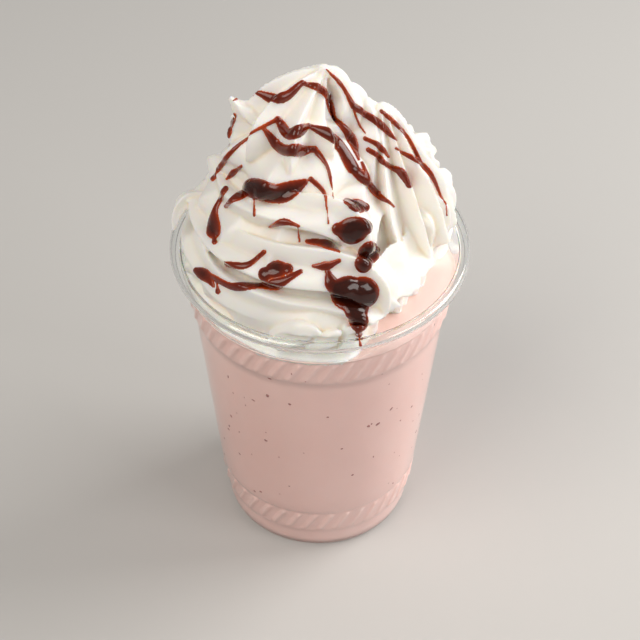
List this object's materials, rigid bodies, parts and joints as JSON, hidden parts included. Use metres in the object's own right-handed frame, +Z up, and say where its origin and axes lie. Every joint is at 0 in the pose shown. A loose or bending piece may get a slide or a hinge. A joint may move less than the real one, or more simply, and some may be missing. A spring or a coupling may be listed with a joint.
{
  "type": "strawberry milkshake",
  "caption": "strawberry milkshake in a clear tumbler with a rolled rim and ribbed bands, topped with piped whipped cream and chocolate sauce",
  "frame": {"origin": "centre of the foot on the table", "axes": "+Z up, -Y towards the viewer, +X to the viewer's right"},
  "size_m": [0.098, 0.098, 0.1822],
  "materials": {
    "clear_cup": "clear moulded, gloss",
    "milkshake": "smooth liquid",
    "cream": "soft satin",
    "sauce": "wet gloss"
  },
  "bodies": {
    "root": {"cup": "clear_cup", "milkshake": "milkshake", "whipped_cream": "cream"}
  },
  "joints": []
}
